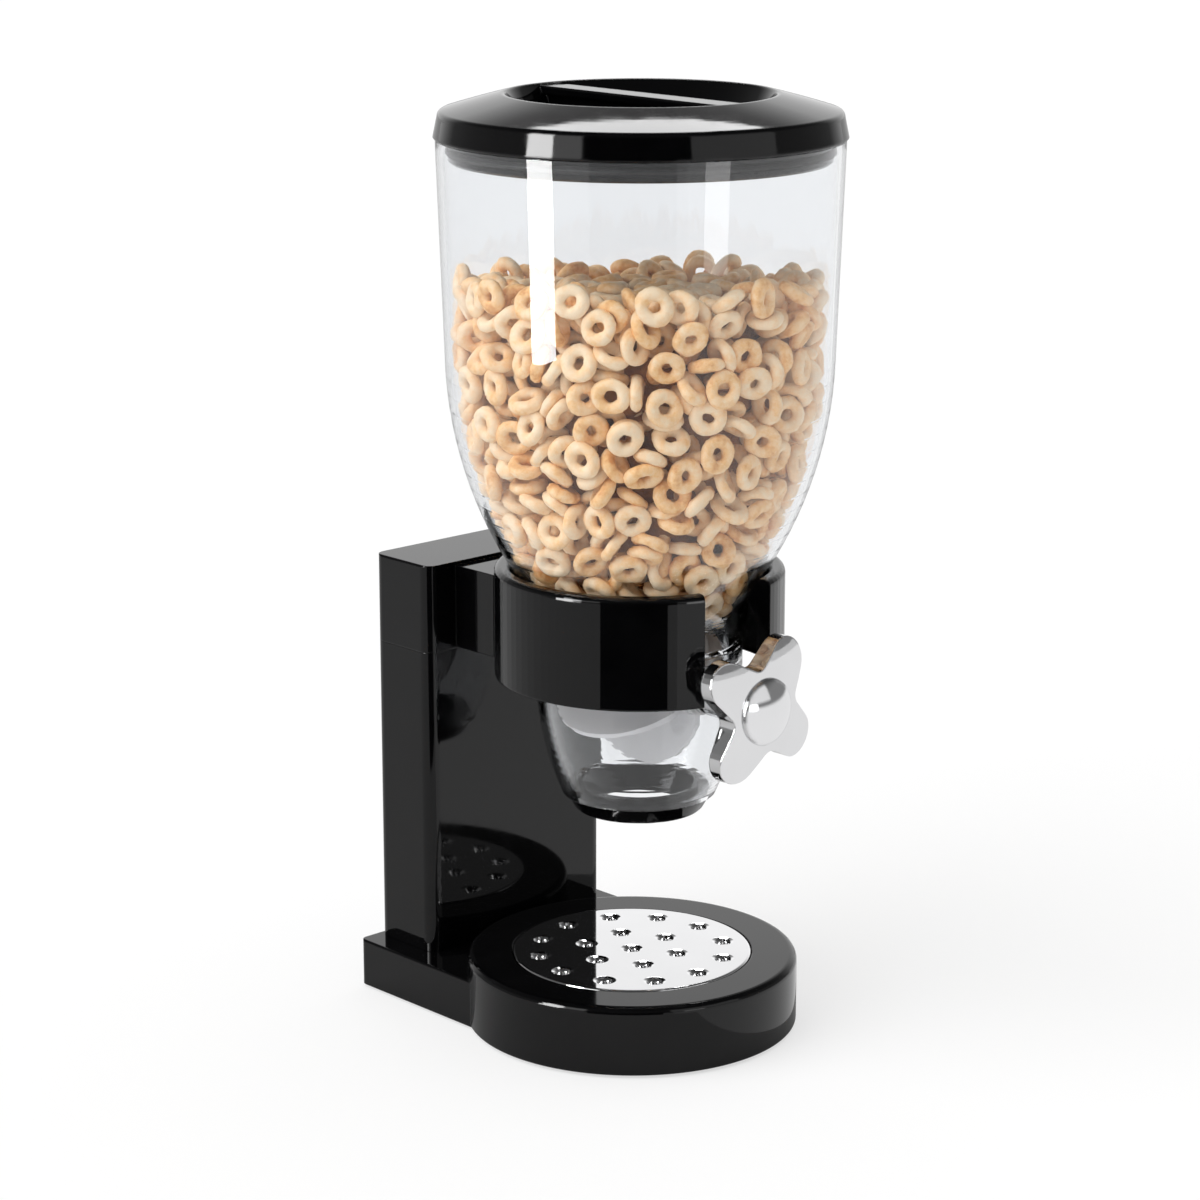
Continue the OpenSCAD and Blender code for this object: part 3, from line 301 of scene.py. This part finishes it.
# ---------------------------------------------------------------- cereal, in mm about the canister's axis
RING_R, TUBE_R = 4.95, 2.7  # radii of a ring's centre line and of its tube
SIDES = 10  # points of the centre line that are tested for room
OVERLAP = 1.5  # how far two tubes may press into each other
WALL_GAP = 0.4
CELL = 16.0  # more than a ring's width, so that neighbours lie at most one cell away
WHEEL_Z, WHEEL_R, WHEEL_GAP = 152.0, 36.5, 1  # centre height and reach of the paddle wheel under the heap

HEAP_FOOT, HEAP_TOP = 178, 318.0
HEAP_FALL = 0.05  # the heap's top falls this much per mm away from the camera
HEAP_EDGE_R = 70  # where the height of the heap's edge is taken
CORE_DEPTH = 24  # from the wall to the unseen middle of the heap

FLAT_TILT, FLAT_SPREAD = -0.15, 0.45
HEIGHT_POWER = 0.8  # under 1, so that the wider upper part gets more rings
START_GAP = 0.5
SETTLE_STEPS = 12
SETTLE_TURN, SETTLE_SHIFT, SETTLE_SINK = 0.35, 1.4, (0.3, 2.6)

# nearest and farthest depth from the wall, share of rings that lie flat on it, tries, and
# tries in a row without room that end the layer
LAYERS = (
    (0.0, 0.8, 0.5, 9000, 420),
    (0.0, 0.8, 0.5, 9000, 420),
    (0.5, 6.0, 0.2, 6000, 420),
    (4.0, 14.0, 0.2, 9000, 300),
    (12.0, 20.0, 0.2, 5000, 120),
)
COVER_TRIES, COVER_R, COVER_TILT = 1500, 60, 0.7
COVER_DEPTHS = (4, 7, 10, 14)


def away(x, y):
    """How far a point lies behind the axis, about along the camera's view."""
    return 0.73 * x + 0.68 * y


def heap_top(x, y):
    return HEAP_TOP - HEAP_FALL * away(x, y)


def core_r(z):
    return max(float(inner_r(z)) - CORE_DEPTH, 0)


def ring_points(normal):
    """Points on the centre line of a ring about the origin."""
    a = Vector(normal).orthogonal().normalized()
    b = Vector(normal).cross(a)
    ang = np.arange(SIDES) * 2 * math.pi / SIDES
    return RING_R * (np.outer(np.cos(ang), a) + np.outer(np.sin(ang), b))


class Heap:
    """Rings at rest, kept in a grid of cells so that neighbours are quick to find."""

    def __init__(self):
        self.cells = {}
        self.rings = []

    def key(self, c):
        return tuple(int(math.floor(v / CELL)) for v in c)

    def add(self, c, n):
        self.rings.append((c, n))
        self.cells.setdefault(self.key(c), []).append((c, ring_points(n) + c))

    def fits(self, c, base):
        """Whether a ring at c clears the wall, the wheel and its neighbours."""
        pts = base + c
        if np.any(np.hypot(pts[:, 0], pts[:, 1]) > inner_r(pts[:, 2]) - TUBE_R - WALL_GAP):
            return False
        from_wheel = np.linalg.norm(pts - (0, 0, WHEEL_Z), axis=1)
        if np.any(from_wheel < WHEEL_R + TUBE_R + WHEEL_GAP) or np.any(pts[:, 2] < WHEEL_Z):
            return False
        ix, iy, iz = self.key(c)
        near = []
        for dx in (-1, 0, 1):
            for dy in (-1, 0, 1):
                for dz in (-1, 0, 1):
                    near += self.cells.get((ix + dx, iy + dy, iz + dz), [])
        reach = (2 * (RING_R + TUBE_R)) ** 2
        near = [q for centre, q in near if np.sum((c - centre) ** 2) < reach]
        if not near:
            return True
        d = pts[None, :, None, :] - np.array(near)[:, None, :, :]
        return float(np.min(np.sum(d * d, axis=3))) > (2 * TUBE_R - OVERLAP) ** 2


def random_vector(rng):
    return Vector((rng.gauss(0, 1), rng.gauss(0, 1), rng.gauss(0, 1)))


def random_normal(rng, th, flat):
    """A direction for a ring's axis; with flat it lies within about 30 degrees of the wall's normal."""
    v = random_vector(rng).normalized()
    if flat:
        v = (Vector((math.cos(th), math.sin(th), FLAT_TILT)) + FLAT_SPREAD * v).normalized()
    return tuple(v)


def settle(heap, rng, c, n):
    """Small turns and shifts, each kept where it lets the ring sink or move outwards."""
    for _ in range(SETTLE_STEPS):
        m = tuple((Vector(n) + SETTLE_TURN * random_vector(rng)).normalized())
        out = c / max(float(np.hypot(c[0], c[1])), 1.0)
        move = np.array([rng.gauss(0, SETTLE_SHIFT), rng.gauss(0, SETTLE_SHIFT), -rng.uniform(*SETTLE_SINK)])
        move[:2] += out[:2]
        if heap.fits(c + move, ring_points(m)):
            c, n = c + move, m
    return c, n


def fill_layer(heap, rng, near, far, flat_share, tries, misses):
    """Rings at depths near..far in from the wall, until so many tries in a row find no room."""
    failed = 0
    for _ in range(tries):
        th = rng.uniform(0, 2 * math.pi)
        top = heap_top(HEAP_EDGE_R * math.cos(th), HEAP_EDGE_R * math.sin(th))
        z = HEAP_FOOT + (top - HEAP_FOOT) * rng.random() ** HEIGHT_POWER
        n = random_normal(rng, th, rng.random() < flat_share)
        base = ring_points(n)
        outermost = float(np.max(base[:, 0] * math.cos(th) + base[:, 1] * math.sin(th)))
        reach = outermost + TUBE_R + START_GAP
        r = float(inner_r(z)) - reach - rng.uniform(near, far)
        if r < 0:
            continue
        c = np.array([r * math.cos(th), r * math.sin(th), z])
        if not heap.fits(c, base):
            failed += 1
            if failed > misses:
                break
            continue
        failed = 0
        heap.add(*settle(heap, rng, c, n))


def cover_top(heap, rng):
    """Rings that lie over the middle of the heap's top."""
    for _ in range(COVER_TRIES):
        th = rng.uniform(0, 2 * math.pi)
        r = COVER_R * math.sqrt(rng.random())
        x, y = r * math.cos(th), r * math.sin(th)
        tilt, spin = rng.uniform(0, COVER_TILT), rng.uniform(0, 2 * math.pi)
        n = (math.sin(tilt) * math.cos(spin), math.sin(tilt) * math.sin(spin), math.cos(tilt))
        c = np.array([x, y, heap_top(x, y) - rng.choice(COVER_DEPTHS)])
        if heap.fits(c, ring_points(n)):
            heap.add(c, n)


def fill_rings():
    rng = random.Random(7)
    heap = Heap()
    for layer in LAYERS:
        fill_layer(heap, rng, *layer)
    cover_top(heap, rng)
    return heap.rings


def mesh_object(name, verts, faces):
    me = bpy.data.meshes.new(name)
    me.from_pydata([tuple(v) for v in verts], [], [tuple(f) for f in faces])
    me.shade_smooth()
    o = bpy.data.objects.new(name, me)
    bpy.context.scene.collection.objects.link(o)
    return o


SIZE_RANGE = (0.93, 1.05)  # of a ring's radii, about their nominal size
OVAL, SWELL, LUMPS = 0.05, 0.08, 0.05  # how uneven a ring is, as shares of its radii
TUBE_FLAT = 0.92  # height of the tube over its width


def ring_mesh(name, placed):
    """One mesh of all the rings, each a little uneven."""
    rng = np.random.default_rng(11)
    nu, nv = 18, 9
    u = np.arange(nu) * 2 * math.pi / nu
    v = np.arange(nv) * 2 * math.pi / nv
    i, j = np.meshgrid(np.arange(nu), np.arange(nv), indexing="ij")
    i2, j2 = (i + 1) % nu, (j + 1) % nv
    quad = np.stack([i * nv + j, i2 * nv + j, i2 * nv + j2, i * nv + j2], axis=-1).reshape(-1, 4)
    verts, faces = [], []
    for k, (c, n) in enumerate(placed):
        ring = RING_R * rng.uniform(*SIZE_RANGE)
        tube = TUBE_R * rng.uniform(*SIZE_RANGE)
        ph = rng.uniform(0, 2 * math.pi, 3)
        oval = 1 + OVAL * np.cos(2 * u + ph[0])
        fat = tube * (1 + SWELL * np.sin(2 * u + ph[1]) + LUMPS * np.sin(5 * u + ph[2]))
        ax = Vector(n).orthogonal().normalized()
        ay = Vector(n).cross(ax)
        ax, ay, az = np.array(ax), np.array(ay), np.array(n)
        rad = ring * oval[:, None] + fat[:, None] * np.cos(v)[None, :]
        lift = TUBE_FLAT * fat[:, None] * np.sin(v)[None, :]
        around = np.cos(u)[:, None, None] * ax + np.sin(u)[:, None, None] * ay
        verts.append(((rad[..., None] * around + lift[..., None] * az).reshape(-1, 3) + c) * MM)
        faces.append(quad + k * nu * nv)
    return mesh_object(name, np.concatenate(verts) + np.array(AXIS), np.concatenate(faces))


CORE_FOOT, CORE_TOP = 196, HEAP_TOP - 14
CORE_TURNS, CORE_LEVELS = 72, 44
CORE_UNEVEN = 2.2
CORE_FALL_Z = 300  # above this the core's rows fall away with the heap's top
CORE_SHOULDER_Z = HEAP_TOP - 20  # above this it draws in under the covering rings
CORE_OUT_LOW, CORE_OUT_HIGH = 7, 2  # how far it reaches out beyond core_r, below and above that height


def heap_core(name):
    """The unseen middle of the heap: an uneven closed body that stops light between the rings."""
    rng = np.random.default_rng(5)
    heights = np.linspace(CORE_FOOT, CORE_TOP, CORE_LEVELS)
    verts, faces = [(AXIS.x, AXIS.y, (heights[0] - 2) * MM)], []
    for z in heights:
        bumps = rng.uniform(-CORE_UNEVEN, CORE_UNEVEN, CORE_TURNS)
        reach = CORE_OUT_LOW if z < CORE_SHOULDER_Z else CORE_OUT_HIGH
        for k in range(CORE_TURNS):
            a = 2 * math.pi * k / CORE_TURNS
            r = max(core_r(z) + reach + bumps[k], 1)
            x, y = r * math.cos(a), r * math.sin(a)
            row_z = z - HEAP_FALL * away(x, y) * (z > CORE_FALL_Z)
            verts.append((AXIS.x + x * MM, AXIS.y + y * MM, row_z * MM))
    verts.append((AXIS.x, AXIS.y, (heights[-1] + 1) * MM))
    last = len(verts) - 1
    top = 1 + (len(heights) - 1) * CORE_TURNS
    for k in range(CORE_TURNS):
        k2 = (k + 1) % CORE_TURNS
        faces.append((0, 1 + k2, 1 + k))
        faces.append((last, top + k, top + k2))
        for i in range(len(heights) - 1):
            a = 1 + i * CORE_TURNS
            faces.append((a + k, a + k2, a + CORE_TURNS + k2, a + CORE_TURNS + k))
    return mesh_object(name, verts, faces)


def make_cereal():
    rings = ring_mesh("cereal_rings", fill_rings())
    core = heap_core("cereal_core")
    # the core's dark brown is painted shade in the gaps between the rings
    for o, mat in ((rings, cereal_material()), (core, painted_gap_shade_material())):
        o.data.materials.append(mat)
        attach(o, "canister")


# ---------------------------------------------------------------- stage
ROOM_LEVEL = 0.22  # how bright mirrors see the room on the camera's side
FLOOR_HALF = 20


def stage_face(name, corners, mat):
    """One flat face of the studio."""
    me = bpy.data.meshes.new(name)
    me.from_pydata(corners, [], [tuple(range(len(corners)))])
    me.materials.append(mat)
    o = bpy.data.objects.new(name, me)
    bpy.context.scene.collection.objects.link(o)
    return o


def only_glossy(o):
    o.visible_camera = False
    o.visible_diffuse = False
    o.visible_transmission = False
    o.visible_volume_scatter = False
    o.visible_shadow = False


def emission(name, strength):
    mat, t, out = new_material(name)
    join(t, add(t, "ShaderNodeEmission", Strength=strength, Color=WHITE), "Emission", out, "Surface")
    return mat


def white_rays(t):
    """1 for rays from the camera and through glass."""
    path = add(t, "ShaderNodeLightPath")
    either = add(t, "ShaderNodeMath", operation="MAXIMUM")
    join(t, path, "Is Camera Ray", either, 0)
    join(t, path, "Is Transmission Ray", either, 1)
    return either


def mirror_rays(t):
    """1 for rays that a mirror throws back, and 0 for those that pass through glass."""
    path = add(t, "ShaderNodeLightPath")
    only = add(t, "ShaderNodeMath", operation="SUBTRACT", use_clamp=True)
    join(t, path, "Is Glossy Ray", only, 0)
    join(t, path, "Is Transmission Ray", only, 1)
    return only


def make_world():
    world = bpy.data.worlds.new("studio")
    bpy.context.scene.world = world
    world.use_nodes = True
    t = world.node_tree
    t.nodes.clear()
    out = add(t, "ShaderNodeOutputWorld")
    soft = add(t, "ShaderNodeBackground", Strength=0.5, Color=WHITE)
    white = add(t, "ShaderNodeBackground", Strength=1.0, Color=WHITE)
    plain = mix_shaders(t, white_rays(t), soft, white)

    # mirrors see the white backdrop low behind the object, and a dimmer ceiling and room
    room = add(t, "ShaderNodeBackground", Strength=1.0)
    way = add(t, "ShaderNodeTexCoord")
    parts = add(t, "ShaderNodeSeparateXYZ")
    join(t, way, "Generated", parts, "Vector")
    heights = [(0.0, (1,) * 3), (0.32, (1,) * 3), (0.5, (0.42,) * 3), (0.9, (0.2,) * 3)]
    ceiling = ramp(t, parts, "Z", heights)
    behind = add(t, "ShaderNodeVectorMath", operation="DOT_PRODUCT")
    behind.inputs[1].default_value = (-math.sin(CAMERA_TURN), math.cos(CAMERA_TURN), 0)
    join(t, way, "Generated", behind, 0)
    backdrop = spread(t, behind, "Value", ROOM_LEVEL, 1.0, 0.62, 0.9)
    level = add(t, "ShaderNodeVectorMath", operation="SCALE")
    join(t, ceiling, "Color", level, 0)
    join(t, backdrop, "Result", level, "Scale")
    join(t, level, "Vector", room, "Color")
    join(t, mix_shaders(t, mirror_rays(t), plain, room), "Shader", out, "Surface")


def diffuse(t, level):
    return add(t, "ShaderNodeBsdfDiffuse", Color=(level, level, level, 1))


def make_floor():
    """Pale floor that looks nearly white, still shows soft shadows, and is greyer in mirrors."""
    mat, t, out = new_material("floor")
    glowing = add(t, "ShaderNodeAddShader")
    join(t, diffuse(t, 0.33), "BSDF", glowing, 0)
    join(t, add(t, "ShaderNodeEmission", Strength=0.63), "Emission", glowing, 1)
    plain = mix_shaders(t, white_rays(t), diffuse(t, 0.8), glowing)
    join(t, mix_shaders(t, mirror_rays(t), plain, diffuse(t, 0.5)), "Shader", out, "Surface")
    h = FLOOR_HALF
    stage_face("floor", [(-h, -h, 0), (h, -h, 0), (h, h, 0), (-h, h, 0)], mat)


def toward_camera(distance, left_deg):
    """Point on the floor at a distance from the canister's axis.

    It lies left_deg to the left of the camera's side, as the camera sees it.
    """
    a = CAMERA_TURN - math.radians(90) - math.radians(left_deg)
    return AXIS + Vector((distance * math.cos(a), distance * math.sin(a), 0))


def soft_sun(name, energy, size_deg, left_deg, height_deg):
    """A broad lamp that shows in no mirror, height_deg above the floor."""
    sun = bpy.data.lights.new(name, "SUN")
    sun.energy = energy
    sun.angle = math.radians(size_deg)
    o = bpy.data.objects.new(name, sun)
    at = toward_camera(1.0, left_deg) - AXIS
    h = math.radians(height_deg)
    source = Vector((at.x * math.cos(h), at.y * math.cos(h), math.sin(h)))
    o.rotation_euler = source.to_track_quat("Z", "Y").to_euler()
    o.visible_glossy = False
    bpy.context.scene.collection.objects.link(o)


def card(name, corners, mat):
    """A flat piece of the studio that only mirrors show."""
    only_glossy(stage_face(name, corners, mat))


def ground_card(name, mat, near, far, left, right):
    """A card just above the floor, between two distances and two angles."""
    rim = [toward_camera(d, side) for d, side in ((near, left), (near, right), (far, right), (far, left))]
    card(name, [(v.x, v.y, 0.002) for v in rim], mat)


def upright_panel(name, mat, distance, left, right, bottom, top):
    a, b = toward_camera(distance, left), toward_camera(distance, right)
    card(name, [(a.x, a.y, bottom), (b.x, b.y, bottom), (b.x, b.y, top), (a.x, a.y, top)], mat)


# lower edge of the overhead panel's right half, as (degrees to the side, degrees above the horizon)
TOP_PANEL_EDGE = [(0, 38.3), (4.1, 37.6), (6, 36.6), (8, 35.8), (9.5, 34.6), (13, 31.5)]
TOP_PANEL_BACK = [(14, 56), (-14, 56)]
TOP_PANEL_DISTANCE = 6
LID_TOP = AXIS + Vector((0, 0, 0.39))


def overhead_panel():
    """The arched panel behind the object that the front of the lid's dome mirrors."""
    arch = [(-a, h) for a, h in reversed(TOP_PANEL_EDGE[1:])] + TOP_PANEL_EDGE
    corners = []
    for side, rise in arch + TOP_PANEL_BACK:
        flat = (toward_camera(-1.0, side) - AXIS) * math.cos(math.radians(rise))
        up = Vector((0, 0, math.sin(math.radians(rise))))
        corners.append(LID_TOP + TOP_PANEL_DISTANCE * (flat + up))
    card("top_panel", corners, emission("top_panel", 5.6))


def make_lights():
    soft_sun("left_panel", energy=2.2, size_deg=60, left_deg=62, height_deg=42)
    soft_sun("top_panel_behind", energy=0.75, size_deg=80, left_deg=205, height_deg=62)

    # dark ground in front of the table and a dark doorway behind the camera, for the upright faces
    dark = emission("dark_card", 0.0)
    ground_card("flag_front", dark, near=0.34, far=3.6, left=28.7, right=-18.8)
    dark = emission("doorway", 0.0)
    upright_panel("doorway", dark, distance=3.3, left=32, right=-27, bottom=0.0, top=1.7)

    # white card on the floor at the right, mirrored by the knob
    white = emission("white_card", 0.86)
    ground_card("card_right", white, near=0.16, far=9.0, left=-25, right=-150)

    # upright panels mirrored by the lid's skirt, the canister and the collar: a bright strip on the
    # left with a dim one beside it, a low one on the right and a broad dim one beyond it
    for name, finish, strength, distance, left, right, bottom, top in (
        ("strip_panel", "strip_panel", 21.0, 1.2, 64.2, 48.8, 0.02, 0.92),
        ("side_panel", "side_panel", 1.9, 1.2, 48.4, 32.4, 0.3, 0.92),
        ("low_strip_right", "low_strip", 4.0, 1.2, -34, -48, 0.08, 0.26),
        ("right_panel", "right_panel", 0.8, 2.0, -27, -78, 0.35, 1.3),
    ):
        upright_panel(name, emission(finish, strength), distance, left, right, bottom, top)
    overhead_panel()


make_camera()
dress_nodes()
make_cereal()
make_world()
make_floor()
make_lights()

bpy.context.scene.view_settings.view_transform = "Standard"
